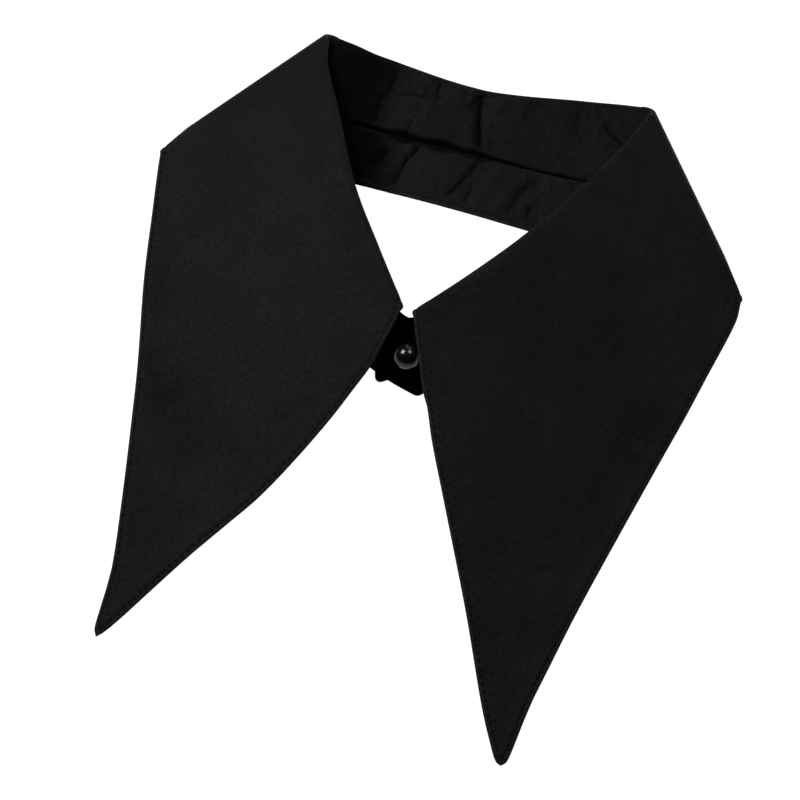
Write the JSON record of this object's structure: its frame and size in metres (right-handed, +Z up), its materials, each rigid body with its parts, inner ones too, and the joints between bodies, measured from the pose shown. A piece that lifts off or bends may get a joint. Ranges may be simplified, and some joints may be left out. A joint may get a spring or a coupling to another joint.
{
  "type": "detachable collar",
  "caption": "Detachable shirt collar in black cotton with long pointed leaves and a buttoned neck band, lying flat with its back half folded under.",
  "frame": {"origin": "on the surface it lies on, under the back of the collar, midway between its two creases", "axes": "+Z up from the surface, +Y towards the back of the neck, -Y towards the points of the leaves, +X towards the collar's right side as seen from the front"},
  "size_m": [0.2437, 0.277, 0.0213],
  "materials": {
    "fall_cotton": "matte",
    "band_cotton": "matte",
    "button_plastic": "gloss"
  },
  "bodies": {
    "root": {"collar_fall": "fall_cotton", "neck_band": "band_cotton", "front_button": "button_plastic"}
  },
  "joints": []
}
